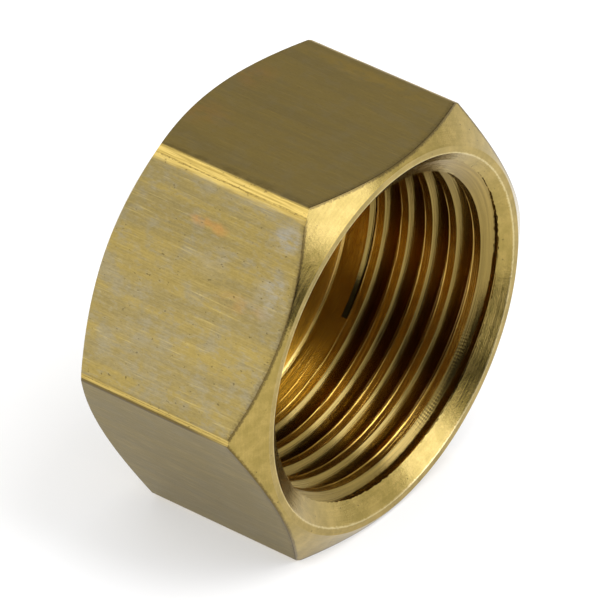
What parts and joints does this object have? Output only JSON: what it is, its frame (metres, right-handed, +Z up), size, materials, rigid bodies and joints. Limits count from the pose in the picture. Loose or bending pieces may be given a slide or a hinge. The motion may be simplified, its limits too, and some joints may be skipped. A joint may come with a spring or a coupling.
{
  "type": "threaded pipe cap",
  "caption": "Hexagonal brass pipe cap: a blind threaded bore with a countersunk mouth and chamfered ends, lying on one flat.",
  "frame": {"origin": "middle of the underside: on the flat that the cap lies on, below the middle of its length", "axes": "+Z up, square to the flat that the cap lies on; the bore's axis runs along Y at half the height, and the mouth opens towards -Y; +X runs from corner to corner of the hexagon"},
  "size_m": [0.0218, 0.0104, 0.019],
  "materials": {
    "brass": "machined brass with a light brown and grey tarnish on the flats"
  },
  "bodies": {
    "root": {"hex_cap": "brass"}
  },
  "joints": []
}
